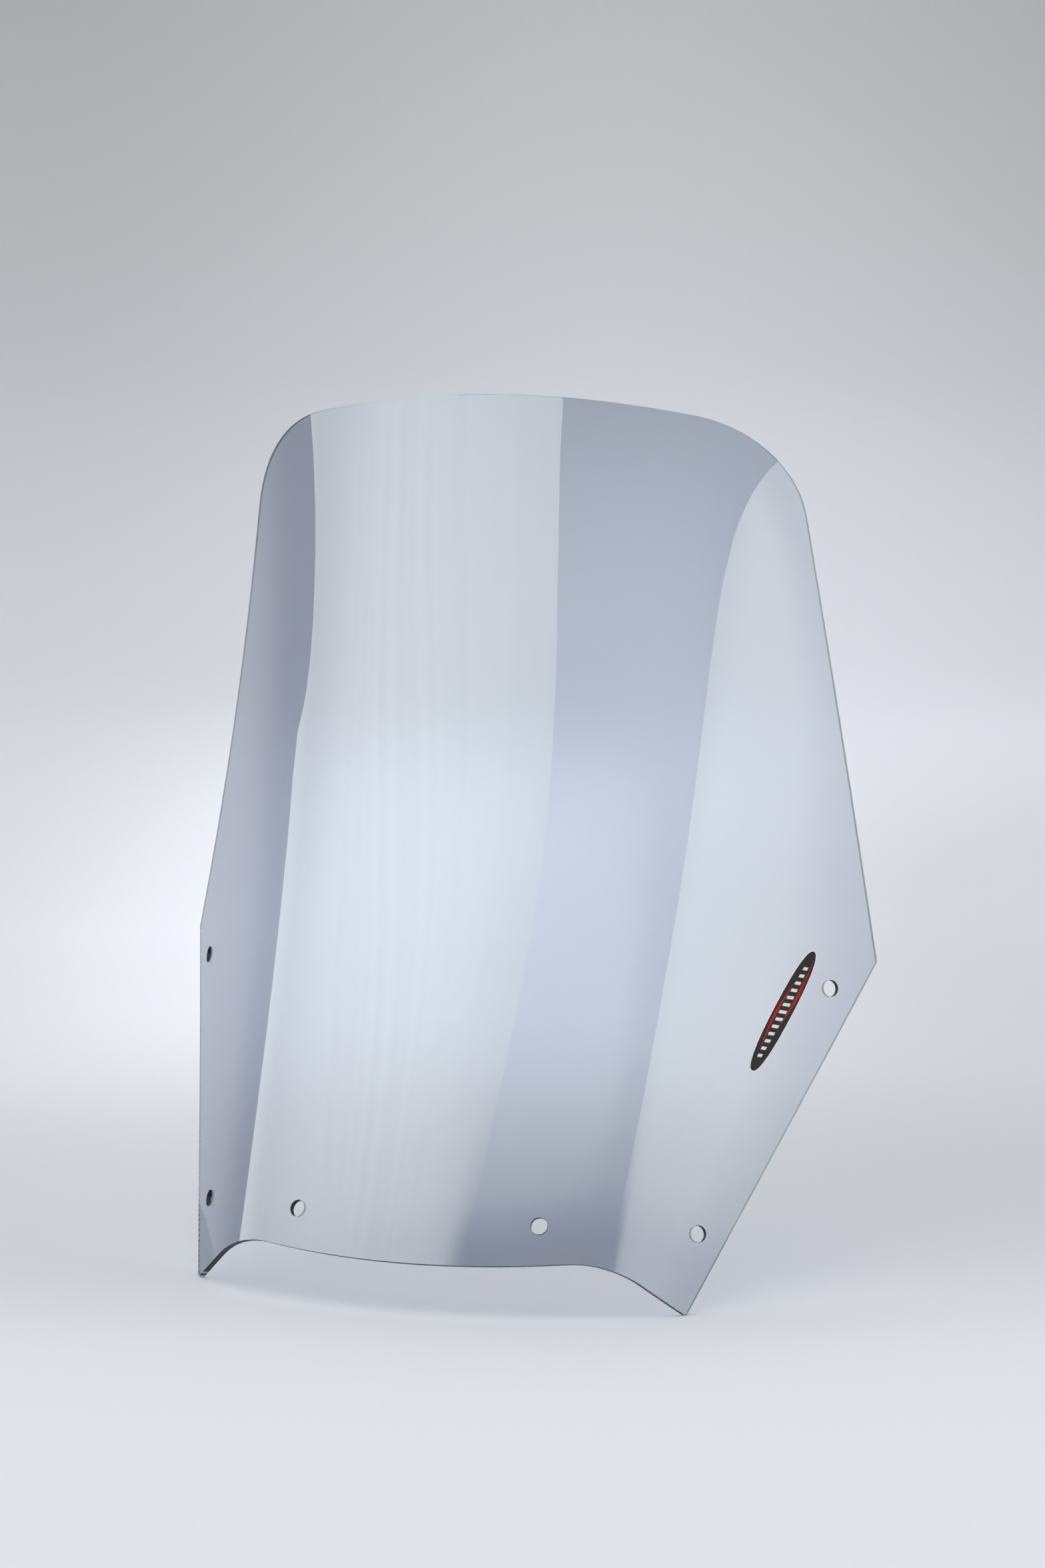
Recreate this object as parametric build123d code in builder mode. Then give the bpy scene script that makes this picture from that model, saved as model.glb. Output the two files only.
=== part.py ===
from build123d import *
from math import exp, log, radians, tan
import os

# Clear windshield screen for a motorcycle: one heat-formed acrylic sheet with six
# plain fixing holes, and an oval badge on its left-hand wing.
# Millimetres. +Z is up, the outer face looks towards -Y, X = 0 is the plane of symmetry.
# The origin is midway between the two front holes, on the outer face.

# ---- sheet ----
sheet_thickness = 3.2
screen_height = 500.0  # tips of the feet to the crown of the top edge
foot_rake = 24.4  # lean of the centre line at the foot, degrees from upright
head_rake = 0.0  # lean of the centre line at the top edge
setback = 152.3  # how far the top edge stands behind the foot

# ---- cross sections, at the foot and at the head ----
crown_foot = 17.6  # sweep of the front panel 100 mm out from the centre
crown_head = 0.7
bend_foot = 111.6  # half spacing of the two bends
bend_head = 139.1
bend_softness_foot = 6.5  # about a third of the width a bend is spread over
bend_softness_head = 33.4
wing_slope_foot = 0.545  # slope a bend adds
wing_slope_head = 1.12

# ---- outline, seen from the front: half widths and heights ----
top_corner_half_width = 163.3
top_corner_drop = 23.0  # from the crown of the top edge to where its line meets the side's
top_corner_radius = 70.0
side_hollow = 1.55  # how far each side edge bows inwards between its corners
wing_half_width = 212.1
wing_height = 180.0
wing_corner_radius = 3.0
foot_half_width = 148.7
foot_corner_radius = 1.2
foot_width = 36.8  # from the tip of a foot in to its shoulder
shoulder_height = 32.3
shoulder_radius = 52.0
arch_height = 28.0

# ---- fixing holes ----
hole_diameter = 9.5
front_hole_half_spacing = 73.0
front_hole_rise = 22.3  # above the arch between the feet
side_hole_inset = 14.2  # level distance in from the tapered edge
lower_hole_height = 42.6
upper_hole_height = 167.9

# ---- badge ----
badge_length = 85.0  # point to point, before the tips are rounded
badge_width = 12.3
badge_tip_radius = 1.7
badge_border = 0.5  # clear film showing round the printed face
badge_film_thickness = 0.25
badge_print_thickness = 0.1
badge_inset = 29.6  # level distance in from the tapered edge
badge_height = 158.1
badge_tilt_rise = 60.8  # the badge axis climbs this much for each badge_tilt_run outwards
badge_tilt_run = 20.0

# ---- how finely the forming surface is sampled ----
blank_margin = 14.0
column_step = 4.0
row_step = 20.0

os.makedirs("parts", exist_ok=True)


def blend(foot, head, share):
    return foot + (head - foot) * share


def centre_line(z):
    """Depth of the outer face in the plane of symmetry: a cubic with a lean at each end."""
    s = z / screen_height
    rise = setback * s * s * (3 - 2 * s)
    lean_foot = screen_height * tan(radians(foot_rake)) * s * (1 - s) ** 2
    lean_head = screen_height * tan(radians(head_rake)) * s * s * (s - 1)
    return rise + lean_foot + lean_head


def ramp(distance, softness):
    """Zero before the bend, rising at one in one after it, rounded over the softness."""
    return softness * log(1 + exp(distance / softness))


def surface_depth(x, z):
    share = z / screen_height
    softness = bend_softness_foot * (bend_softness_head / bend_softness_foot) ** share
    bend = blend(bend_foot, bend_head, share)
    both = ramp(x - bend, softness) + ramp(-x - bend, softness) - 2 * ramp(-bend, softness)
    crown = blend(crown_foot, crown_head, share) * (x / 100) ** 2
    return centre_line(z) + crown + blend(wing_slope_foot, wing_slope_head, share) * both


def inside_taper(inset, height):
    """Half width of a point set in from the straight edge that runs from the foot to the wing."""
    return blend(foot_half_width, wing_half_width, height / wing_height) - inset


front_hole_height = arch_height + front_hole_rise
holes = (
    (front_hole_half_spacing, front_hole_height),
    (inside_taper(side_hole_inset, lower_hole_height), lower_hole_height),
    (inside_taper(side_hole_inset, upper_hole_height), upper_hole_height),
)

# The datum moves everything so that the origin lies midway between the front holes.
datum_depth = surface_depth(front_hole_half_spacing, front_hole_height)
datum_height = front_hole_height


def on_surface(x, z):
    return Vector(x, surface_depth(x, z) - datum_depth, z - datum_height)


def surface_plane(x, z, rise=1.0, run=0.0):
    """Plane touching the outer face, looking outwards, its X axis along the given climb."""
    reach = 0.5
    across = on_surface(x + reach, z) - on_surface(x - reach, z)
    upward = on_surface(x, z + reach) - on_surface(x, z - reach)
    outward = across.cross(upward).normalized()
    along = across * run + upward * rise
    return Plane(origin=on_surface(x, z), x_dir=along.normalized(), z_dir=outward)


def steps(low, high, step):
    count = max(8, round((high - low) / step))
    return [low + (high - low) * i / count for i in range(count + 1)]


# ---- forming surface ----
columns = steps(-wing_half_width - blank_margin, wing_half_width + blank_margin, column_step)
rows = steps(-blank_margin, screen_height + blank_margin, row_step)
grid = [[on_surface(x, z) for z in rows] for x in columns]
forming_surface = Face.make_surface_from_array_of_points(grid, tol=0.01, min_deg=3, max_deg=5)

# ---- outline of the trimmed sheet ----
front_view = Plane(origin=(0, 0, -datum_height), x_dir=(1, 0, 0), z_dir=(0, -1, 0))
with BuildPart() as trim_tool:
    with BuildSketch(front_view) as outline:
        top_corner = (top_corner_half_width, screen_height - top_corner_drop)
        wing = (wing_half_width, wing_height)
        foot = (foot_half_width, 0)
        shoulder = (foot_half_width - foot_width, shoulder_height)
        with BuildLine():
            side = SagittaArc(top_corner, wing, -side_hollow)
            taper = Line(wing, foot)
            instep = Line(foot, shoulder)
            mirror([side, taper, instep], about=Plane.YZ)
            ThreePointArc((-top_corner[0], top_corner[1]), (0, screen_height), top_corner)
            ThreePointArc((-shoulder[0], shoulder[1]), (0, arch_height), shoulder)
        make_face()
        for (_, height), radius in (
            (foot, foot_corner_radius),
            (shoulder, shoulder_radius),
            (wing, wing_corner_radius),
            (top_corner, top_corner_radius),
        ):
            pair = outline.vertices().filter_by_position(Axis.Y, height - 0.01, height + 0.01)
            fillet(pair, radius)
    extrude(amount=2 * screen_height, both=True)

# ---- screen panel: the trimmed surface given the sheet's thickness, edges square to the sheet ----
sheet_face = forming_surface & trim_tool.part
with BuildPart() as screen_panel:
    thicken(to_thicken=sheet_face, amount=sheet_thickness, normal_override=(0, 1, 0))
    for half_spacing, height in holes:
        for hand in (-1, 1):
            with BuildSketch(surface_plane(hand * half_spacing, height)):
                Circle(hole_diameter / 2)
            extrude(amount=3 * sheet_thickness, both=True, mode=Mode.SUBTRACT)
screen_panel.part.label = "screen_panel"

# ---- badge: a clear film with a printed face, laid on the outer face of the wing ----
badge_half_spacing = inside_taper(badge_inset, badge_height)
badge_plane = surface_plane(badge_half_spacing, badge_height, badge_tilt_rise, badge_tilt_run)


def badge_tool(border):
    with BuildPart() as tool:
        with BuildSketch(badge_plane) as oval:
            with BuildLine():
                upper = ThreePointArc(
                    (-badge_length / 2, 0), (0, badge_width / 2), (badge_length / 2, 0)
                )
                mirror(upper, about=Plane.XZ)
            make_face()
            fillet(oval.vertices(), radius=badge_tip_radius)
            if border:
                offset(amount=-border, mode=Mode.REPLACE)
        extrude(amount=badge_width, both=True)
    return tool.part


with BuildPart() as badge_film:
    thicken(
        to_thicken=forming_surface & badge_tool(0),
        amount=badge_film_thickness,
        normal_override=(0, -1, 0),
    )
badge_film.part.label = "badge_film"

outward = Axis(badge_plane.origin, badge_plane.z_dir)
film_top = badge_film.faces().sort_by(SortBy.AREA)[-2:].sort_by(outward)[-1]
with BuildPart() as badge_print:
    thicken(
        to_thicken=film_top & badge_tool(badge_border),
        amount=badge_print_thickness,
        normal_override=(0, -1, 0),
    )
badge_print.part.label = "badge_print"

for piece in (screen_panel, badge_film, badge_print):
    export_step(piece.part, f"parts/{piece.part.label}.step")
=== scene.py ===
"""Studio scene of a formed acrylic motorcycle windshield screen.

Laid out as an add-on: the panel in the 3D view's sidebar lists one operator
for each piece and one for the stage, and the property groups hold the sizes
and colours that may be changed.
"""

import math

import bmesh
import bpy
from mathutils import Matrix, Vector


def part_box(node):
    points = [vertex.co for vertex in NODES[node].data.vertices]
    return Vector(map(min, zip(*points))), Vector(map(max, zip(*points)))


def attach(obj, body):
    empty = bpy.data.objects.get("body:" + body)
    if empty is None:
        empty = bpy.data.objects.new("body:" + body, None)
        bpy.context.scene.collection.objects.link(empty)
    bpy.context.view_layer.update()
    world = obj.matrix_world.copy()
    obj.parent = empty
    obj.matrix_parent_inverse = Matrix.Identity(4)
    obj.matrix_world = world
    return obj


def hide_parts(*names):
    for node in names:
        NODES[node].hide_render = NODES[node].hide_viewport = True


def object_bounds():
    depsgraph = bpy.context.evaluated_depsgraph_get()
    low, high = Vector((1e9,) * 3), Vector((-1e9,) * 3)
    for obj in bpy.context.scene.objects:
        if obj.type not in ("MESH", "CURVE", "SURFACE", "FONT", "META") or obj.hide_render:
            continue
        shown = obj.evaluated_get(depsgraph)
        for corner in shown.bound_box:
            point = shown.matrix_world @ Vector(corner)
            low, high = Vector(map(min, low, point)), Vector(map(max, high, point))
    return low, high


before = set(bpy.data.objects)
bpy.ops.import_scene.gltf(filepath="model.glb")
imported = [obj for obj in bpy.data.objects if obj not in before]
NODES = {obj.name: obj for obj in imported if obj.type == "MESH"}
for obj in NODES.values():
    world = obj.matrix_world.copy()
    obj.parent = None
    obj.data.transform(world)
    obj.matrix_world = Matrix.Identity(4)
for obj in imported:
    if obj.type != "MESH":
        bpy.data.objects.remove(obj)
CAD_LOW, CAD_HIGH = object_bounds()

bl_info = {
    "name": "Windshield Screen",
    "version": (1, 0, 0),
    "blender": (4, 5, 0),
    "location": "View3D > Sidebar > Screen",
    "description": "Dresses a formed acrylic windshield screen and sets up its studio",
    "category": "Object",
}

SHEET_THICKNESS = 0.0032
HOLES = 6
FILM_THICKNESS, PRINT_THICKNESS = 0.00025, 0.0001
# 1 would leave the badge a true ellipse, and less makes its tips blunter.
OVAL_FULLNESS = 0.84
# The badge's shift from its node's box, along it and across it.
BADGE_SHIFT = (-0.0009, 0.0007)
# Share of the height by which the straight lower edge leans outwards.
EDGE_LEAN = 0.302
COVE_RADIUS, COVE_STEPS = 1.8, 12
WALL_TOP = 5.0
FLAG_DISTANCE = 0.5
CARD_PAPER = (0.52, 0.53, 0.56, 1.0)


# ---------------------------------------------------------------- the form


class Form:
    """The mould that the sheet is drawn over, in metres from the tips of its feet."""

    height = 0.5
    foot_rake = math.radians(24.4)
    setback = 0.1523
    crown = (0.0176, 0.0007)  # sweep 100 mm out from the middle, at the foot and the head
    bend = (0.1116, 0.1391)
    softness = (0.0065, 0.0334)
    wing_slope = (0.545, 1.12)
    front_hole = 0.073  # half spacing of the front holes, whose middle is the origin

    def __init__(self, thickness):
        self.thickness = thickness
        self.foot = CAD_LOW.z
        self.start = 0.0
        self.start = -self.depth(self.front_hole, 0.0)

    def depth(self, x, z):
        """Y of the outer face."""
        s = (z - self.foot) / self.height

        def between(pair):
            return pair[0] + (pair[1] - pair[0]) * s

        soft = self.softness[0] * (self.softness[1] / self.softness[0]) ** s
        bend = between(self.bend)

        def ramp(d):
            return soft * math.log1p(math.exp(d / soft))

        line = self.setback * s * s * (3 - 2 * s)
        line += self.height * math.tan(self.foot_rake) * s * (1 - s) ** 2
        wings = ramp(x - bend) + ramp(-x - bend) - 2 * ramp(-bend)
        return self.start + line + between(self.crown) * (x / 0.1) ** 2 + between(self.wing_slope) * wings

    def normal(self, x, z):
        """Direction that the outer face looks in."""
        e = 0.0002
        across = (self.depth(x + e, z) - self.depth(x - e, z)) / (2 * e)
        upward = (self.depth(x, z + e) - self.depth(x, z - e)) / (2 * e)
        return Vector((across, -1.0, upward)).normalized()

    def outer(self, x, z):
        return Vector((x, self.depth(x, z), z))

    def foot_point(self, place):
        """X and Z of the point of the outer face that an inner point lies behind."""
        x, z = place.x, place.z
        for _ in range(12):
            behind = self.outer(x, z) - self.normal(x, z) * self.thickness
            x += place.x - behind.x
            z += place.z - behind.z
        return x, z


# ---------------------------------------------------------------- settings


class ScreenPanelSettings(bpy.types.PropertyGroup):
    """Finish of the acrylic sheet."""

    tint: bpy.props.FloatVectorProperty(
        name="Tint",
        description="Share of each colour that passes once straight through the sheet",
        default=(0.68, 0.70, 0.75),
        size=3,
        min=0.01,
        max=1.0,
        subtype="COLOR",
    )
    skin: bpy.props.FloatVectorProperty(
        name="Skin",
        description="Colour that each face of the sheet gives to light on its way through",
        default=(0.65, 0.68, 0.735),
        size=3,
        min=0.0,
        max=1.0,
        subtype="COLOR",
    )
    scraped_corner: bpy.props.FloatProperty(
        name="Scraped corner",
        description="Width scraped off each corner of the cut edge",
        default=0.0007,
        unit="LENGTH",
    )
    # Painted shade: the dark colour of the cut edge next to the skins.
    edge_dark: bpy.props.FloatVectorProperty(
        name="Edge dark",
        description="Colour of the cut edge next to the skins",
        default=(0.020, 0.022, 0.026),
        size=3,
        subtype="COLOR",
    )
    # Painted highlight: the pale colour of the middle of the cut edge; the walls of the holes also take
    # it for their painted lip highlights and drill rings.
    edge_light: bpy.props.FloatVectorProperty(
        name="Edge light",
        description="Colour of the middle of the cut edge",
        default=(0.42, 0.43, 0.46),
        size=3,
        subtype="COLOR",
    )
    # Painted shade: the near-black colour of the walls of the holes.
    bore_dark: bpy.props.FloatVectorProperty(
        name="Bore dark",
        description="Colour of the walls of the holes",
        default=(0.02, 0.021, 0.024),
        size=3,
        subtype="COLOR",
    )
    saw_step: bpy.props.FloatProperty(
        name="Saw step",
        description="Distance between the saw's marks on the straight edge",
        default=0.0026,
        unit="LENGTH",
    )
    sheet_thickness: bpy.props.FloatProperty(
        name="Sheet thickness",
        description="Depth of acrylic over which the tint is reached",
        default=SHEET_THICKNESS,
        unit="LENGTH",
    )
    column_width: bpy.props.FloatProperty(
        name="Column width",
        description="Width of the mesh's columns where the sheet bends",
        default=0.004,
        unit="LENGTH",
    )
    row_height: bpy.props.FloatProperty(
        name="Row height",
        description="Height of the mesh's rows",
        default=0.008,
        unit="LENGTH",
    )
    bend_start: bpy.props.FloatProperty(
        name="Bend start",
        description="Distance from the middle past which the columns are narrow",
        default=0.07,
        unit="LENGTH",
    )
    refractive_index: bpy.props.FloatProperty(
        name="Refractive index",
        description="Bending of light in the acrylic",
        default=1.49,
    )


class BadgeSettings(bpy.types.PropertyGroup):
    """Finish of the badge on the wing at +X."""

    film_colour: bpy.props.FloatVectorProperty(
        name="Film",
        description="Colour of the film's bare rim",
        default=(0.93, 0.93, 0.95),
        size=3,
        subtype="COLOR",
    )
    badge_length: bpy.props.FloatProperty(
        name="Length", description="Length of the oval", default=0.0797, unit="LENGTH"
    )
    badge_width: bpy.props.FloatProperty(
        name="Width", description="Width of the oval", default=0.0123, unit="LENGTH"
    )
    badge_border: bpy.props.FloatProperty(
        name="Border", description="Bare film round the print", default=0.0005, unit="LENGTH"
    )
    film_shade: bpy.props.FloatVectorProperty(
        name="Film shade",
        description="Colour of the film where the trimming left it milky",
        default=(0.78, 0.80, 0.84),
        size=3,
        subtype="COLOR",
    )
    stripe_colour: bpy.props.FloatVectorProperty(
        name="Stripe",
        description="Colour of the two tapering stripes",
        default=(0.46, 0.008, 0.006),
        size=3,
        subtype="COLOR",
    )
    bar_colour: bpy.props.FloatVectorProperty(
        name="Bars",
        description="Colour of the slanted bars",
        default=(0.80, 0.81, 0.82),
        size=3,
        subtype="COLOR",
    )
    bar_step: bpy.props.FloatProperty(
        name="Bar step",
        description="Distance from one slanted bar to the next",
        default=0.0048,
        unit="LENGTH",
    )
    print_colour: bpy.props.FloatVectorProperty(
        name="Print",
        description="Colour of the printed field",
        default=(0.022, 0.018, 0.016),
        size=3,
        subtype="COLOR",
    )


class StageSettings(bpy.types.PropertyGroup):
    """Camera, floor and lights."""

    lens: bpy.props.FloatProperty(
        name="Lens", description="Focal length of the camera", default=122.98, unit="CAMERA"
    )
    camera_place: bpy.props.FloatVectorProperty(
        name="Camera place",
        description="Where the camera stands",
        default=(1.1692, -2.6760, 0.5803),
        size=3,
        subtype="TRANSLATION",
        unit="LENGTH",
    )
    camera_turn: bpy.props.FloatProperty(
        name="Camera turn",
        description="Turn of the camera about the vertical",
        default=math.radians(22.42),
        unit="ROTATION",
    )
    camera_dip: bpy.props.FloatProperty(
        name="Camera dip",
        description="Angle by which the camera looks down",
        default=math.radians(6.63),
        unit="ROTATION",
    )
    camera_roll: bpy.props.FloatProperty(
        name="Camera roll",
        description="Roll of the camera about its own line of sight",
        default=math.radians(-0.41),
        unit="ROTATION",
    )
    # Turn along which the paper's painted light and shade are laid out; the sweep itself is round.
    painted_light_turn: bpy.props.FloatProperty(
        name="Sweep turn",
        description="Turn of the paper sweep about the upright, from straight ahead",
        default=math.radians(22.4),
        subtype="ANGLE",
    )
    paper: bpy.props.FloatVectorProperty(
        name="Paper",
        description="Colour of the floor and the wall",
        default=(0.575, 0.590, 0.628),
        size=3,
        subtype="COLOR",
    )
    # Painted light tint that the wall's paper takes on high up.
    paper_high: bpy.props.FloatVectorProperty(
        name="Paper high up",
        description="Colour of the wall above the screen",
        default=(0.575, 0.585, 0.602),
        size=3,
        subtype="COLOR",
    )
    room_radius: bpy.props.FloatProperty(
        name="Room radius",
        description="Distance from the middle of the floor to the wall",
        default=5.2,
        unit="LENGTH",
    )
    light_distance: bpy.props.FloatProperty(
        name="Light distance",
        description="Distance from the screen to the light cards",
        default=2.0,
        unit="LENGTH",
    )
    air_strength: bpy.props.FloatProperty(
        name="Air strength", description="Strength of the light from all round", default=1.48, min=0.0
    )
    lamp_power: bpy.props.FloatProperty(
        name="Lamp power", description="Power of the lamp overhead", default=48.5, min=0.0, unit="POWER"
    )


# ---------------------------------------------------------------- node help


class Shader:
    """Short calls for building a node tree."""

    def __init__(self, name):
        self.material = bpy.data.materials.new(name)
        self.material.use_nodes = True
        self.tree = self.material.node_tree
        self.tree.nodes.clear()
        self.out = self.node("ShaderNodeOutputMaterial")

    def node(self, kind, **values):
        """A new node with its own settings."""
        made = self.tree.nodes.new(kind)
        for key, value in values.items():
            setattr(made, key, value)
        return made

    def put(self, node, socket, value):
        """Links a socket's output, or sets a plain value."""
        if isinstance(value, bpy.types.NodeSocket):
            self.tree.links.new(value, node.inputs[socket])
        else:
            node.inputs[socket].default_value = value

    def make(self, kind, inputs=(), **values):
        """A new node with its inputs filled."""
        made = self.node(kind, **values)
        for socket, value in dict(inputs).items():
            self.put(made, socket, value)
        return made

    def place(self):
        """Object coordinates."""
        return self.node("ShaderNodeTexCoord").outputs["Object"]

    def math(self, operation, *values):
        made = self.node("ShaderNodeMath", operation=operation)
        for i, value in enumerate(values):
            self.put(made, i, value)
        return made.outputs[0]

    def range(self, value, low, high, to_low=0.0, to_high=1.0, kind="SMOOTHSTEP"):
        """A value carried from one range to another and held at its ends."""
        made = self.node("ShaderNodeMapRange", interpolation_type=kind)
        for socket, v in (
            ("Value", value),
            ("From Min", low),
            ("From Max", high),
            ("To Min", to_low),
            ("To Max", to_high),
        ):
            self.put(made, socket, v)
        return made.outputs["Result"]

    def split(self, vector):
        made = self.make("ShaderNodeSeparateXYZ", {0: vector})
        return made.outputs["X"], made.outputs["Y"], made.outputs["Z"]

    def along(self, direction):
        """How far a point lies along a direction."""
        return self.make(
            "ShaderNodeVectorMath", {0: self.place(), 1: direction}, operation="DOT_PRODUCT"
        ).outputs["Value"]

    def stops(self, value, *pairs):
        """A value read from (input, output) stops, straight between up to three and smooth past that."""
        low, high = pairs[0][0], pairs[-1][0]
        base, top = min(out for _, out in pairs), max(out for _, out in pairs)
        made = self.make(
            "ShaderNodeValToRGB", {0: self.range(value, low, high, kind="LINEAR")}
        )
        ramp = made.color_ramp
        ramp.interpolation = "CARDINAL" if len(pairs) > 3 else "LINEAR"
        while len(ramp.elements) < len(pairs):
            ramp.elements.new(0.5)
        for element, (at, out) in zip(ramp.elements, pairs):
            element.position = (at - low) / (high - low)
            level = (out - base) / (top - base)
            element.color = (level, level, level, 1.0)
        return self.math("ADD", self.math("MULTIPLY", made.outputs["Color"], top - base), base)

    def mix(self, share, first, second):
        """A colour between two, and the first where the share is 0."""
        made = self.node("ShaderNodeMix", data_type="RGBA")
        for socket, value in ((0, share), (6, first), (7, second)):
            self.put(made, socket, value)
        return made.outputs[2]

    def noise(self, scale, **values):
        """Noise over the object, from 0 to 1."""
        inputs = {"Vector": self.place(), "Scale": scale}
        inputs.update((key.capitalize(), value) for key, value in values.items())
        return self.make("ShaderNodeTexNoise", inputs).outputs["Fac"]

    def bump(self, strength, distance, height):
        inputs = {"Strength": strength, "Distance": distance, "Height": height}
        return self.make("ShaderNodeBump", inputs).outputs["Normal"]

    def finish(self, surface, volume=None):
        """Joins the material's output and hands the material over."""
        self.tree.links.new(surface, self.out.inputs["Surface"])
        if volume is not None:
            self.tree.links.new(volume, self.out.inputs["Volume"])
        return self.material


def colour(rgb):
    return (*rgb[:3], 1.0)


def mesh_object(name, bm, *materials):
    """A new object at the origin from a bmesh."""
    mesh = bpy.data.meshes.new(name)
    for m in materials:
        mesh.materials.append(m)
    bm.to_mesh(mesh)
    bm.free()
    made = bpy.data.objects.new(name, mesh)
    bpy.context.scene.collection.objects.link(made)
    return made


# ---------------------------------------------------------------- materials


def smoke_volume(s, settings):
    """Absorption that gives the tint once the light has crossed the sheet."""
    taken = [-math.log(t) / settings.sheet_thickness for t in settings.tint]
    density = max(taken) / 0.9
    return s.make(
        "ShaderNodeVolumeAbsorption",
        {"Color": (*[1 - t / density for t in taken], 1.0), "Density": density},
    ).outputs[0]


def acrylic(settings):
    """Clear smoke sheet: the dye wanders faintly, and forming has left the skins a little wavy."""
    s = Shader("smoke_acrylic")
    skin = colour(settings.skin)
    dyed = colour([0.6 * c for c in settings.skin])
    wander = s.noise(14.0, detail=3.0, roughness=0.5)
    p = s.make(
        "ShaderNodeBsdfPrincipled",
        {
            "Base Color": s.mix(s.range(wander, 0.35, 0.65, 0.0, 0.025), skin, dyed),
            "Normal": s.bump(0.25, 0.0002, s.noise(22.0, detail=1.0)),
            "Roughness": 0.0,
            "IOR": settings.refractive_index,
            "Transmission Weight": 1.0,
        },
    )
    return s.finish(p.outputs[0], smoke_volume(s, settings))


def through_thickness(s):
    """0 in the middle of a cut edge and 1 at either skin."""
    at = s.node("ShaderNodeAttribute", attribute_name="through").outputs["Fac"]
    off = s.math("ABSOLUTE", s.math("SUBTRACT", at, 0.5))
    return s.math("MULTIPLY", off, 2.0)


def cut_edge(settings):
    """Sawn and scraped edge with the upright marks of the saw: painted shade at both skins, a paler
    painted highlight between them, and painted glints on the saw's chatter marks.
    """
    s = Shader("sawn_edge")
    saw = s.noise(420.0, detail=1.0, roughness=0.4)
    wander = s.noise(60.0, detail=2.0, roughness=0.5)
    marks = s.range(s.math("ADD", saw, s.math("MULTIPLY", wander, 0.5)), 0.62, 0.86)
    x, y, z = s.split(s.place())
    # even chatter marks of the saw along the straight lower edge on the -X side only, painted pale as
    # glints
    pace = settings.saw_step
    step = s.math("PINGPONG", s.math("ADD", z, s.math("MULTIPLY", wander, 0.003)), pace / 2)
    chatter_and_glint = s.range(step, 0.2 * pace, 0.3 * pace, 0.0, 1.0)
    upright_x = s.math("ADD", x, s.math("MULTIPLY", z, EDGE_LEAN))
    straight = s.range(upright_x, -0.1555, -0.1565, 0.0, 1.0)
    chatter_and_glint = s.math("MULTIPLY", chatter_and_glint, straight)
    marks = s.math("MAXIMUM", marks, chatter_and_glint)
    # the pale painted highlight of the core fades out towards the feet
    core_highlight = s.range(through_thickness(s), 0.35, 0.75, 1.0, 0.0)
    core_highlight = s.math("MULTIPLY", core_highlight, s.range(z, -0.022, 0.0, 0.06, 1.0))
    core_highlight = s.math("MULTIPLY", core_highlight, s.math("ADD", s.math("MULTIPLY", marks, 0.6), 0.4))
    pale = s.math("MAXIMUM", core_highlight, chatter_and_glint)
    p = s.make(
        "ShaderNodeBsdfPrincipled",
        {
            "Base Color": s.mix(pale, colour(settings.edge_dark), colour(settings.edge_light)),
            "Roughness": s.range(marks, 0.0, 1.0, 0.32, 0.5),
            "Specular IOR Level": 0.25,
            "Normal": s.bump(0.3, 0.0003, saw),
        },
    )
    return s.finish(p.outputs[0])


def bored_wall(settings):
    """Wall of a drilled hole: near black as painted shade, with fine rings left by the drill and painted
    highlights on its lips.
    """
    s = Shader("bored_wall")
    lip_highlight = s.range(through_thickness(s), 0.8, 1.0, 0.0, 0.5)
    rings = s.range(s.noise(900.0, detail=1.0), 0.5, 0.8, 0.0, 0.12)
    pale = s.math("ADD", lip_highlight, rings)
    p = s.make(
        "ShaderNodeBsdfPrincipled",
        {
            "Base Color": s.mix(pale, colour(settings.bore_dark), colour(settings.edge_light)),
            "Roughness": 0.4,
            "Specular IOR Level": 0.12,
        },
    )
    return s.finish(p.outputs[0])


def badge_axes(s):
    """Distance along the badge from its middle, and across it, in metres."""
    middle, run, facing, form = badge_frame()
    rise = facing.cross(run)
    along = s.math("SUBTRACT", s.along(run), middle.dot(run))
    across = s.math("SUBTRACT", s.along(rise), middle.dot(rise))
    return along, across


def badge_film_gloss(settings):
    """Cut film round the print: pale, with a slight milkiness where it was trimmed."""
    s = Shader("badge_rim_film")
    milk = s.range(s.noise(700.0, detail=2.0), 0.3, 0.7, 0.0, 0.35)
    p = s.make(
        "ShaderNodeBsdfPrincipled",
        {
            "Base Color": s.mix(milk, colour(settings.film_colour), colour(settings.film_shade)),
            "Roughness": 0.4,
            "Specular IOR Level": 0.15,
        },
    )
    return s.finish(p.outputs[0])


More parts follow.
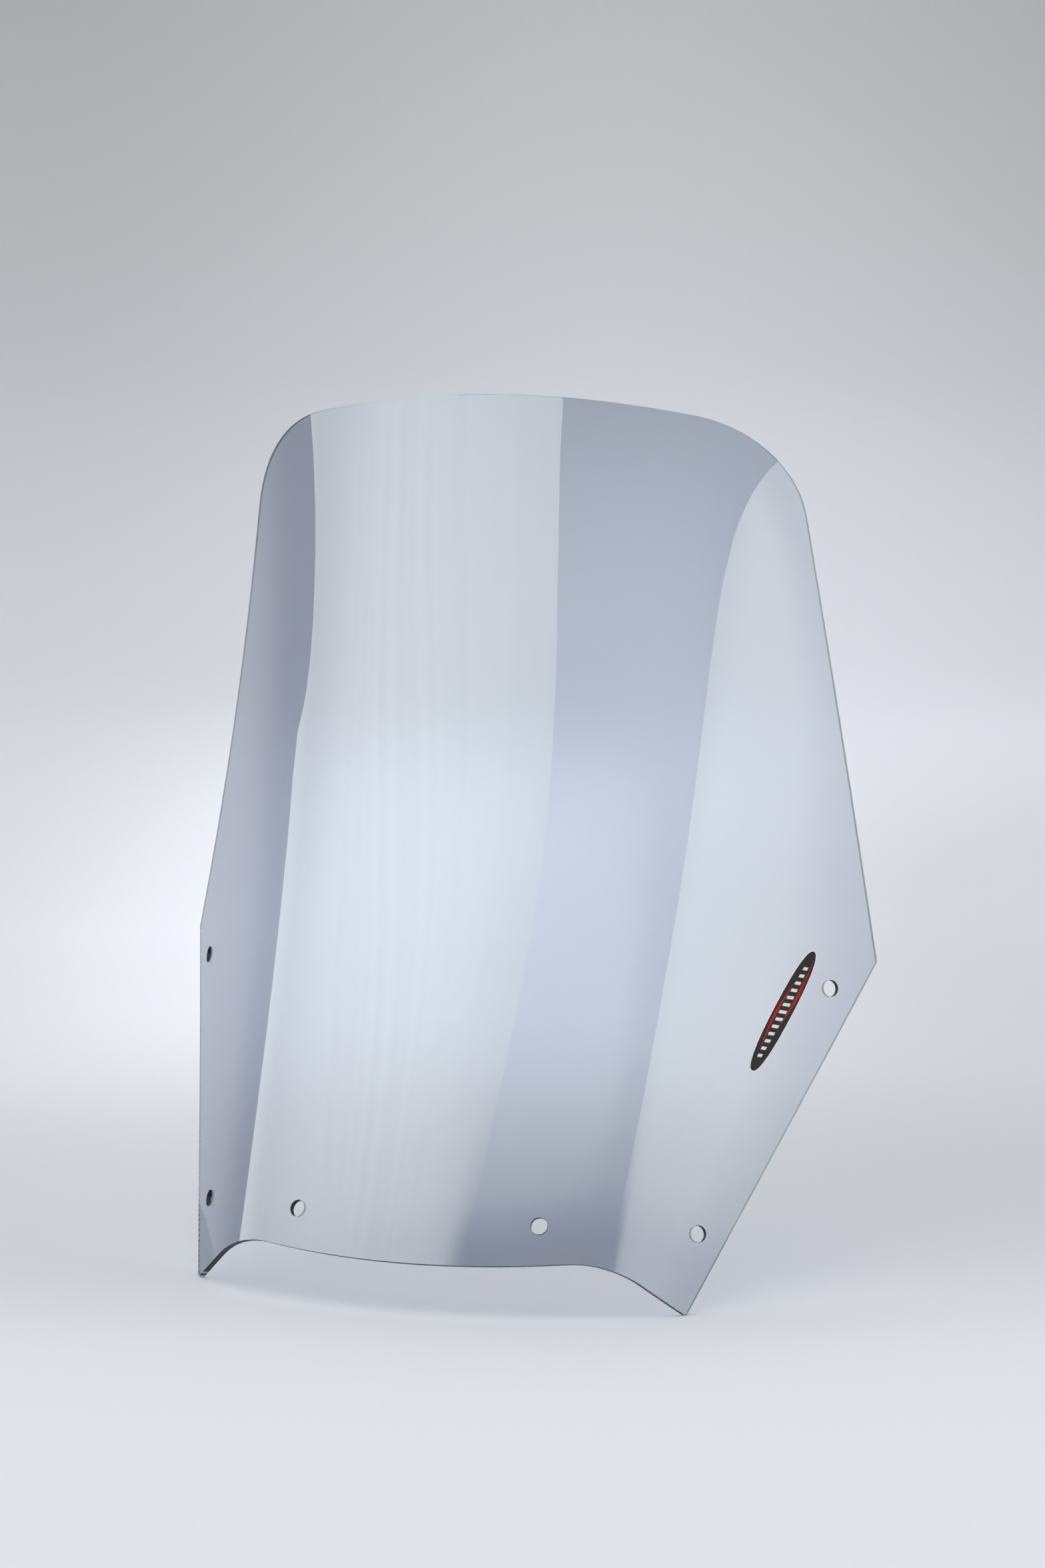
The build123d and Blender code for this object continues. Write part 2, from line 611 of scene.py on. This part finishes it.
def badge_ink(settings):
    """Black field with two tapering red stripes and a row of slanted pale bars between them."""
    s = Shader("badge_black_print")
    along, across = badge_axes(s)
    far = s.math("ABSOLUTE", along)
    # the bars keep clear of the tips, and get shorter towards them
    slanted = s.math("ADD", along, s.math("MULTIPLY", across, 0.45))
    step = s.math("PINGPONG", s.math("ADD", slanted, 0.2), settings.bar_step / 2)
    bar = s.range(step, settings.bar_step * 0.26, settings.bar_step * 0.32, 0.0, 1.0)
    half = s.range(far, 0.0, 0.034, 0.0023, 0.0012, "LINEAR")
    inside = s.math("SUBTRACT", half, s.math("ABSOLUTE", across))
    bar = s.math("MULTIPLY", bar, s.range(inside, 0.0, 0.0002))
    bar = s.math("MULTIPLY", bar, s.range(far, 0.031, 0.0312, 1.0, 0.0))
    # one stripe either side of the bars, thickest off the middle
    stripe = None
    for side, shift in ((1.0, -0.004), (-1.0, 0.012)):
        out = s.math("ABSOLUTE", s.math("SUBTRACT", along, shift))
        centre = s.range(out, 0.0, 0.030, 0.0036 * side, 0.0018 * side)
        width = s.range(out, 0.0, 0.026, 0.0009, 0.0, "LINEAR")
        gap = s.math("SUBTRACT", width, s.math("ABSOLUTE", s.math("SUBTRACT", across, centre)))
        mark = s.range(gap, 0.0, 0.0002)
        stripe = mark if stripe is None else s.math("MAXIMUM", stripe, mark)
    field = s.mix(stripe, colour(settings.print_colour), colour(settings.stripe_colour))
    grain = s.noise(1500.0, detail=1.0)
    p = s.make(
        "ShaderNodeBsdfPrincipled",
        {
            "Base Color": s.mix(bar, field, colour(settings.bar_colour)),
            "Roughness": s.range(grain, 0.3, 0.7, 0.36, 0.44),
            "Specular IOR Level": 0.04,
            "Normal": s.bump(0.08, 0.0001, grain),
        },
    )
    return s.finish(p.outputs[0])


# ---------------------------------------------------------------- operators


def trimmed_outline(form):
    """The edges of the outer face and its holes, laid flat on the plane of the front view."""
    bm = bmesh.new()
    bm.from_mesh(NODES["screen_panel"].data)
    bmesh.ops.remove_doubles(bm, verts=bm.verts, dist=1e-6)
    bm.normal_update()
    others = []
    for f in bm.faces:
        middle = f.calc_center_median()
        if f.normal.dot(form.normal(middle.x, middle.z)) < 0.9:
            others.append(f)
    bmesh.ops.delete(bm, geom=others, context="FACES")
    inside = [e for e in bm.edges if not e.is_boundary]
    bmesh.ops.delete(bm, geom=inside, context="EDGES_FACES")
    bmesh.ops.delete(bm, geom=[v for v in bm.verts if not v.link_edges], context="VERTS")
    for v in bm.verts:
        v.co.y = 0.0
    return bm


def ruled(bm, columns, rows, near):
    """Cuts the flat sheet along the columns and rows, and leaves only those lines in it."""
    lines = [(0, x) for x in columns] + [(2, z) for z in rows]
    for axis, at in lines:
        place, normal = Vector(), Vector()
        place[axis], normal[axis] = at, 1.0
        bmesh.ops.bisect_plane(
            bm,
            geom=bm.verts[:] + bm.edges[:] + bm.faces[:],
            dist=near,
            plane_co=place,
            plane_no=normal,
        )

    def on_line(edge):
        a, b = (v.co for v in edge.verts)
        return any(abs(a[i] - at) <= near and abs(b[i] - at) <= near for i, at in lines)

    spare = [e for e in bm.edges if not e.is_boundary and not on_line(e)]
    bmesh.ops.dissolve_edges(bm, edges=spare, use_verts=False, use_face_split=False)
    midway = [v for v in bm.verts if len(v.link_edges) == 2 and not v.is_boundary]
    bmesh.ops.dissolve_verts(bm, verts=midway)


def mark_bores(bm):
    """Gives the walls of the holes the third material: each rim but the longest is a hole's."""
    left = {f for f in bm.faces if f.material_index == 1}
    rims = []
    while left:
        rim, reach = set(), [left.pop()]
        while reach:
            f = reach.pop()
            rim.add(f)
            for e in f.edges:
                for other in e.link_faces:
                    if other in left:
                        left.remove(other)
                        reach.append(other)
        rims.append(rim)
    if len(rims) != HOLES + 1:
        raise RuntimeError(f"the sheet has {len(rims)} rims, not one for its edge and {HOLES} for holes")
    for rim in sorted(rims, key=len)[:-1]:
        for f in rim:
            f.material_index = 2


def formed_sheet(settings):
    """The trimmed sheet drawn over its form and given its thickness."""
    form = Form(settings.sheet_thickness)
    bm = trimmed_outline(form)
    bmesh.ops.triangle_fill(bm, use_beauty=True, edges=bm.edges, normal=(0.0, -1.0, 0.0))
    fine, coarse = settings.column_width, 2 * settings.column_width
    low, high = CAD_LOW, CAD_HIGH
    half = [0.0]
    while half[-1] < high.x - fine:
        half.append(half[-1] + (fine if half[-1] > settings.bend_start else coarse))
    columns = sorted({s * x for x in half for s in (-1, 1)})
    count = round((high.z - low.z) / settings.row_height)
    rows = [low.z + (high.z - low.z) * i / count for i in range(1, count)]
    ruled(bm, columns, rows, near=0.1 * fine)
    through = bm.verts.layers.float.new("through")
    for v in bm.verts:
        v.co = form.outer(v.co.x, v.co.z)
    bm.normal_update()
    skin = bm.faces[:]
    if sum(f.normal.y for f in skin) > 0:
        bmesh.ops.reverse_faces(bm, faces=skin)
    made = bmesh.ops.extrude_face_region(
        bm, geom=skin + bm.edges[:], use_keep_orig=True
    )["geom"]
    for v in made:
        if isinstance(v, bmesh.types.BMVert):
            v[through] = 1.0
            v.co -= form.normal(v.co.x, v.co.z) * form.thickness
    bmesh.ops.recalc_face_normals(bm, faces=bm.faces)
    bm.normal_update()
    sharp = math.radians(30)
    for f in bm.faces:
        f.smooth = True
        x, z = form.foot_point(f.calc_center_median())
        f.material_index = 0 if abs(f.normal.dot(form.normal(x, z))) > 0.9 else 1
    mark_bores(bm)
    corners = [e for e in bm.edges if {f.material_index for f in e.link_faces} == {0, 1}]
    bmesh.ops.bevel(
        bm,
        geom=corners,
        offset=settings.scraped_corner,
        offset_type="OFFSET",
        affect="EDGES",
        segments=1,
        profile=0.5,
        material=1,
        clamp_overlap=True,
    )
    for e in bm.edges:
        kinds = {f.material_index for f in e.link_faces}
        e.smooth = kinds == {0} or (len(kinds) == 1 and e.calc_face_angle(0) < sharp)
    piece = mesh_object(
        "formed_sheet", bm, acrylic(settings), cut_edge(settings), bored_wall(settings)
    )
    mesh = piece.data
    normals = [Vector(n.vector) for n in mesh.corner_normals]
    for f in mesh.polygons:
        if f.material_index == 0:
            for i in f.loop_indices:
                place = mesh.vertices[mesh.loops[i].vertex_index].co
                if f.normal.y < 0:
                    normals[i] = form.normal(place.x, place.z)
                else:
                    normals[i] = -form.normal(*form.foot_point(place))
    mesh.normals_split_custom_set(normals)
    return piece


class SCREEN_OT_panel(bpy.types.Operator):
    """Makes the formed sheet, its holes and its cut edges"""

    bl_idname = "windshield.panel"
    bl_label = "Acrylic sheet"

    def execute(self, context):
        settings = context.scene.screen_panel_settings
        sheet = formed_sheet(settings)
        sheet.visible_shadow = False
        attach(sheet, "root")
        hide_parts("screen_panel")
        return {"FINISHED"}


def badge_frame():
    """Middle of the badge on the outer face, the way it runs, the way it faces, and its form."""
    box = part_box("badge_print")
    low, high = Vector(box[0]), Vector(box[1])
    form = Form(SHEET_THICKNESS)
    middle = form.outer((low.x + high.x) / 2, (low.z + high.z) / 2)
    facing = form.normal(middle.x, middle.z)
    reach = Vector((high.x - low.x, 0.0, high.z - low.z))
    reach.y = -(facing.x * reach.x + facing.z * reach.z) / facing.y
    run = reach.normalized()
    middle += run * BADGE_SHIFT[0] + facing.cross(run) * BADGE_SHIFT[1]
    middle = form.outer(middle.x, middle.z)
    return middle, run, facing, form


def badge_layer(name, length, width, under, over, material):
    """A long oval laid on the outer face, from one height above it to another."""
    middle, run, facing, form = badge_frame()
    bm = bmesh.new()
    bmesh.ops.create_circle(bm, cap_ends=True, segments=96, radius=0.5)
    bmesh.ops.rotate(bm, verts=bm.verts, matrix=Matrix.Rotation(math.pi / 2, 3, "X"))
    for v in bm.verts:
        blunt = [math.copysign(0.5 * abs(2 * c) ** OVAL_FULLNESS, c) for c in (v.co.x, v.co.z)]
        v.co = Vector((blunt[0], 0.0, blunt[1]))
    bmesh.ops.scale(bm, verts=bm.verts, vec=(length, 1.0, width))
    ruled(bm, [length * i / 24 for i in range(-11, 12)], [-0.2 * width, 0.2 * width], near=1e-5)
    rise = facing.cross(run)
    for v in bm.verts:
        flat = middle + run * v.co.x + rise * v.co.z
        v.co = form.outer(flat.x, flat.z) + facing * under
    made = bmesh.ops.extrude_face_region(bm, geom=bm.faces[:], use_keep_orig=True)["geom"]
    for v in made:
        if isinstance(v, bmesh.types.BMVert):
            v.co += facing * (over - under)
    bmesh.ops.recalc_face_normals(bm, faces=bm.faces)
    bm.normal_update()
    for f in bm.faces:
        f.smooth = abs(f.normal.dot(facing)) > 0.7
    for e in bm.edges:
        e.smooth = all(f.smooth for f in e.link_faces)
    return mesh_object(name, bm, material)


class SCREEN_OT_badge(bpy.types.Operator):
    """Gives the badge its film and its print"""

    bl_idname = "windshield.badge"
    bl_label = "Badge"

    def execute(self, context):
        settings = context.scene.screen_badge_settings
        length, width, border = settings.badge_length, settings.badge_width, settings.badge_border
        film = badge_layer(
            "oval_film", length, width, 0.0, FILM_THICKNESS, badge_film_gloss(settings)
        )
        face = badge_layer(
            "oval_print",
            length - 2 * border,
            width - 2 * border,
            FILM_THICKNESS,
            FILM_THICKNESS + PRINT_THICKNESS,
            badge_ink(settings),
        )
        for piece, node in ((film, "badge_film"), (face, "badge_print")):
            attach(piece, "root")
            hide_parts(node)
        return {"FINISHED"}


def upright(turn):
    """Side of a card that stands straight up at an azimuth."""
    return lambda height: turn


def bowed(turn, waist, bow, low, high):
    """Side of a card at an azimuth at its waist, swung away by bow degrees per square metre."""
    return lambda height: turn + bow * (min(max(height, low), high) - waist) ** 2


def kinked(below, above, start, end):
    """Side of a card that leans over from one azimuth to another between two heights."""
    return lambda height: below + (above - below) * min(max((height - start) / (end - start), 0.0), 1.0)


def bent_card(name, left, right, heights, distance, material, columns=32, rows=48):
    """A card bent round the screen, from one side to the other, that only shows as a reflection."""
    bm = bmesh.new()
    bmesh.ops.create_grid(bm, x_segments=columns, y_segments=rows, size=0.5)
    for v in bm.verts:
        height = heights[0] + (v.co.y + 0.5) * (heights[1] - heights[0])
        near, far = left(height), right(height)
        turn = math.radians(near + (v.co.x + 0.5) * (far - near))
        v.co = Vector((math.sin(turn) * distance, -math.cos(turn) * distance, height))
    card = mesh_object(name, bm, material)
    card.visible_camera = False
    card.visible_diffuse = False
    card.visible_transmission = False
    card.visible_shadow = False
    return card


def turn_and_height(s):
    """Azimuth from the front in degrees, towards +X, and height above the origin."""
    x, y, z = s.split(s.place())
    turn = s.math("ARCTAN2", x, s.math("MULTIPLY", y, -1.0))
    return s.math("MULTIPLY", turn, 180 / math.pi), z


def glowing(name, tone, strength):
    """Material of a light card. strength builds its brightness from azimuth and height."""
    s = Shader(name)
    e = s.make("ShaderNodeEmission", {"Color": colour(tone)})
    s.put(e, "Strength", strength(s, *turn_and_height(s)))
    d = s.make("ShaderNodeBsdfDiffuse", {"Color": CARD_PAPER})
    both = s.make("ShaderNodeAddShader", {0: e.outputs[0], 1: d.outputs[0]})
    return s.finish(both.outputs[0])


def studio_paper(settings, floor):
    """Paper of the floor and wall, with light and shade painted into its colour as if lit from the front
    and overhead.
    """
    s = Shader("studio_paper")
    turn = settings.painted_light_turn
    back = s.along((-math.sin(turn), math.cos(turn), 0.0))
    side = s.along((math.cos(turn), math.sin(turn), 0.0))
    height = s.math("SUBTRACT", s.along((0.0, 0.0, 1.0)), floor)
    # painted shade under the screen and painted light far behind it, in a strip down the middle
    deep = s.stops(
        back, (-0.6, 1.0), (-0.1, 0.96), (0.1, 0.84), (0.39, 0.80), (0.75, 0.89), (1.44, 0.99),
        (3.1, 1.17), (3.9, 1.12),
    )
    near = s.range(s.math("ABSOLUTE", s.math("ADD", side, 0.04)), 0.6, 1.8, 1.0, 0.0)
    deep = s.math("ADD", 1.0, s.math("MULTIPLY", s.math("SUBTRACT", deep, 1.0), near))
    # a broad painted glow of light, strongest along a line that drifts to the right further back
    middle = s.stops(back, (0.2, -0.12), (1.6, -0.1), (3.0, 0.2), (5.0, 0.2))
    off = s.math("ABSOLUTE", s.math("SUBTRACT", side, middle))
    reach = s.stops(back, (0.2, 0.5), (1.6, 0.5), (3.0, 0.85), (5.0, 0.85))
    falloff = s.range(s.math("DIVIDE", off, reach), 0.0, 1.0)
    peak = s.stops(back, (0.0, 1.0), (0.5, 1.07), (1.44, 1.18), (5.0, 1.2))
    fall = s.stops(back, (0.0, 0.0), (0.5, 0.12), (1.44, 0.2), (5.0, 0.2))
    glow = s.math("SUBTRACT", peak, s.math("MULTIPLY", fall, falloff))
    # painted shade: the wall darkens upwards
    up = s.stops(height, (0.0, 1.0), (0.1, 0.99), (0.34, 0.86), (0.84, 0.73), (1.6, 0.695))
    shade = s.math("MULTIPLY", s.math("MULTIPLY", deep, glow), up)
    # a painted pool of light on the floor behind the screen
    painted_pool = s.math("MULTIPLY", s.range(back, 0.45, 1.15), s.range(back, 2.2, 3.6, 1.0, 0.0))
    painted_pool = s.math("MULTIPLY", painted_pool, s.range(s.math("ABSOLUTE", side), 0.03, 0.46, 0.23, 0.0))
    shade = s.math("MULTIPLY", shade, s.math("ADD", painted_pool, 1.0))
    # a faint painted shadow by the feet
    foot = s.make(
        "ShaderNodeVectorMath", {0: s.place(), 1: (0.09, 0.0, floor)}, operation="DISTANCE"
    ).outputs["Value"]
    shade = s.math("MULTIPLY", shade, s.range(foot, 0.02, 0.2, 0.965, 1.0))
    # painted light tint: the paper turns from its own colour to a less blue one higher up the wall
    base = s.mix(s.range(height, 0.1, 0.6), colour(settings.paper), colour(settings.paper_high))
    tone = s.make("ShaderNodeVectorMath", {0: base, 3: shade}, operation="SCALE").outputs[0]
    return s.finish(s.make("ShaderNodeBsdfDiffuse", {"Color": tone}).outputs[0])


def middle_strength(s, turn, height):
    """Brightness of the front card, which the darker band down the middle reflects."""
    return s.stops(height, (0.2, 1.7), (0.5, 1.95), (0.9, 3.4), (1.2, 3.7), (1.4, 4.8), (1.7, 2.8))


def left_strength(s, turn, height):
    """Brightness of the left card, with faint upright folds."""
    body = s.stops(
        turn, (-98, 2.6), (-86, 4.3), (-70, 4.4), (-57, 5.8), (-40, 7.4), (-30, 7.4), (-12, 5.7)
    )
    lift = s.stops(height, (0.2, 1.02), (0.9, 1.05), (1.2, 0.97), (2.2, 0.97))
    folds = s.make(
        "ShaderNodeTexNoise", {"W": turn, "Scale": 0.55, "Detail": 1.0}, noise_dimensions="1D"
    ).outputs["Fac"]
    deep = s.range(turn, -32.0, -15.0, 0.045, 0.01)
    folds = s.math("MULTIPLY", s.range(folds, 0.3, 0.7, -1.0, 1.0), deep)
    return s.math("MULTIPLY", s.math("MULTIPLY", body, lift), s.math("ADD", folds, 1.0))


def right_strength(s, turn, height):
    """Brightness of the right card, which dims towards its foot and its far side."""
    body = s.stops(turn, (44, 5.8), (57, 6.8), (66, 7.1), (82, 6.9), (92, 5.0), (110, 1.8))
    lift = s.stops(height, (0.4, 0.76), (0.46, 0.8), (0.53, 1.03), (1.2, 1.03))
    return s.math("MULTIPLY", body, lift)


def beside_strength(s, turn, height):
    """Brightness of the low, dim card close beside the wing on the left."""
    return s.stops(turn, (-130, 0.6), (-116, 0.65), (-100, 0.28), (-88, 0.2))


def flag_gauze():
    """Black gauze that hides the feet of the cards. Its top fades, and it is thickest in front."""
    s = Shader("flag_gauze")
    turn, height = turn_and_height(s)
    # the top of the gauze is highest a little to the left of the front, and bows down each way
    swing = s.math("ADD", turn, 5.0)
    pace = s.range(swing, -1.0, 1.0, math.radians(1.05), math.radians(0.88))
    start = s.math("MULTIPLY", s.math("COSINE", s.math("MULTIPLY", swing, pace)), 0.326)
    start = s.math("MAXIMUM", start, 0.03)
    most = s.stops(
        turn, (-63, 0.1), (-40, 0.2), (-16, 0.3), (-9, 0.93), (57, 0.93), (63, 0.45), (110, 0.38)
    )
    over = s.stops(
        s.math("SUBTRACT", height, start), (0.0, 1.0), (0.032, 0.6), (0.07, 0.28), (0.12, 0.0)
    )
    keep = s.math("SUBTRACT", 1.0, s.math("MULTIPLY", most, over))
    clear = s.make("ShaderNodeBsdfTransparent").outputs[0]
    black = s.make("ShaderNodeBsdfDiffuse", {"Color": (0.0, 0.0, 0.0, 1.0)}).outputs[0]
    return s.finish(s.make("ShaderNodeMixShader", {0: keep, 1: black, 2: clear}).outputs[0])


class SCREEN_OT_stage(bpy.types.Operator):
    """Sets up the floor, the wall, the lights and the camera"""

    bl_idname = "windshield.stage"
    bl_label = "Studio"

    def execute(self, context):
        settings = context.scene.screen_stage_settings
        self.room(settings)
        self.lights(context, settings)
        self.camera(context, settings)
        context.scene.view_settings.view_transform = "Standard"
        # the other guides carry the grain of the sheet's reflections
        context.scene.cycles.denoising_input_passes = "RGB"
        return {"FINISHED"}

    def room(self, settings):
        """Floor and wall in one sweep of paper, round the whole stage."""
        floor, radius = CAD_LOW.z, settings.room_radius
        bm = bmesh.new()
        profile = [bm.verts.new((0.0, r, floor)) for r in (0.0, 0.5, 1.0, 2.0, radius - COVE_RADIUS)]
        for i in range(1, COVE_STEPS + 1):
            turn = math.radians(90 * i / COVE_STEPS)
            out = radius - COVE_RADIUS + COVE_RADIUS * math.sin(turn)
            up = floor + COVE_RADIUS - COVE_RADIUS * math.cos(turn)
            profile.append(bm.verts.new((0.0, out, up)))
        profile.append(bm.verts.new((0.0, radius, WALL_TOP)))
        edges = [bm.edges.new(pair) for pair in zip(profile, profile[1:])]
        bmesh.ops.spin(
            bm,
            geom=profile + edges,
            cent=(0, 0, 0),
            axis=(0, 0, 1),
            angle=math.tau,
            steps=96,
            use_merge=True,
        )
        bmesh.ops.remove_doubles(bm, verts=bm.verts, dist=1e-5)
        bmesh.ops.recalc_face_normals(bm, faces=bm.faces)
        for f in bm.faces:
            f.smooth = True
        mesh_object("studio_room", bm, studio_paper(settings, floor))

    def lights(self, context, settings):
        """White air, a soft lamp overhead and the cards that the sheet reflects."""
        world = bpy.data.worlds.new("studio_air")
        world.use_nodes = True
        air = world.node_tree.nodes["Background"]
        air.inputs["Color"].default_value = (1.0, 1.0, 1.0, 1.0)
        air.inputs["Strength"].default_value = settings.air_strength
        context.scene.world = world
        lamp = bpy.data.lights.new("overhead_lamp", "AREA")
        lamp.shape = "RECTANGLE"
        lamp.size, lamp.size_y = 3.0, 3.0
        lamp.energy = settings.lamp_power
        hung = bpy.data.objects.new("overhead_lamp", lamp)
        hung.location = (0.0, -0.2, 3.0)
        hung.visible_camera = False
        hung.visible_glossy = False
        hung.visible_transmission = False
        context.scene.collection.objects.link(hung)
        left_side = bowed(-16.2, waist=0.75, bow=8.9, low=0.42, high=1.4)
        right_side = bowed(46.1, waist=0.8, bow=105.0, low=0.37, high=0.99)
        beside_side = kinked(-89.2, -80.5, start=0.39, end=0.45)
        # left and right as seen from the front
        tall, low, front = (-0.04, 2.3), (-0.04, 0.8), (0.0, 1.7)
        cards = (
            ("left", upright(-98), left_side, tall, 1.0, (1.03, 1.09, 1.03), left_strength),
            ("right", right_side, upright(110), tall, 1.0, (1.03, 1.09, 1.05), right_strength),
            ("middle", upright(-20), upright(70), front, 1.03, (1.05, 1.14, 1.2), middle_strength),
            ("beside", upright(-130), beside_side, low, 0.45, (1.0, 1.03, 1.04), beside_strength),
        )
        for name, start, end, span, off, tone, strength in cards:
            glow = glowing(f"{name}_glow", tone, strength)
            bent_card(f"light_{name}", start, end, span, off * settings.light_distance, glow)
        bent_card("flag", upright(-75), upright(110), (0.0, 0.46), FLAG_DISTANCE, flag_gauze())

    def camera(self, context, settings):
        """Camera in front and to the right, higher than the screen and looking down at it."""
        data = bpy.data.cameras.new("camera")
        data.lens = settings.lens
        data.sensor_width = 36.0
        data.sensor_fit = "AUTO"
        data.clip_start, data.clip_end = 0.05, 50.0
        camera = bpy.data.objects.new("camera", data)
        camera.matrix_world = (
            Matrix.Translation(settings.camera_place)
            @ Matrix.Rotation(settings.camera_turn, 4, "Z")
            @ Matrix.Rotation(math.radians(90) - settings.camera_dip, 4, "X")
            @ Matrix.Rotation(settings.camera_roll, 4, "Z")
        )
        context.scene.collection.objects.link(camera)
        context.scene.camera = camera


class SCREEN_PT_sidebar(bpy.types.Panel):
    """Lists the screen's pieces and its stage"""

    bl_idname = "SCREEN_PT_sidebar"
    bl_label = "Windshield Screen"
    bl_space_type = "VIEW_3D"
    bl_region_type = "UI"
    bl_category = "Screen"

    def draw(self, context):
        scene = context.scene
        for operator, settings in (
            (SCREEN_OT_panel, scene.screen_panel_settings),
            (SCREEN_OT_badge, scene.screen_badge_settings),
            (SCREEN_OT_stage, scene.screen_stage_settings),
        ):
            box = self.layout.box()
            box.operator(operator.bl_idname)
            for name in settings.__annotations__:
                box.prop(settings, name)


SETTINGS = {
    "screen_panel_settings": ScreenPanelSettings,
    "screen_badge_settings": BadgeSettings,
    "screen_stage_settings": StageSettings,
}
CLASSES = (
    *SETTINGS.values(),
    SCREEN_OT_panel,
    SCREEN_OT_badge,
    SCREEN_OT_stage,
    SCREEN_PT_sidebar,
)


def register():
    for cls in CLASSES:
        bpy.utils.register_class(cls)
    for name, group in SETTINGS.items():
        setattr(bpy.types.Scene, name, bpy.props.PointerProperty(type=group))


def unregister():
    for name in SETTINGS:
        delattr(bpy.types.Scene, name)
    for cls in reversed(CLASSES):
        bpy.utils.unregister_class(cls)


def main():
    register()
    bpy.ops.windshield.panel()
    bpy.ops.windshield.badge()
    bpy.ops.windshield.stage()


if __name__ == "__main__":
    main()
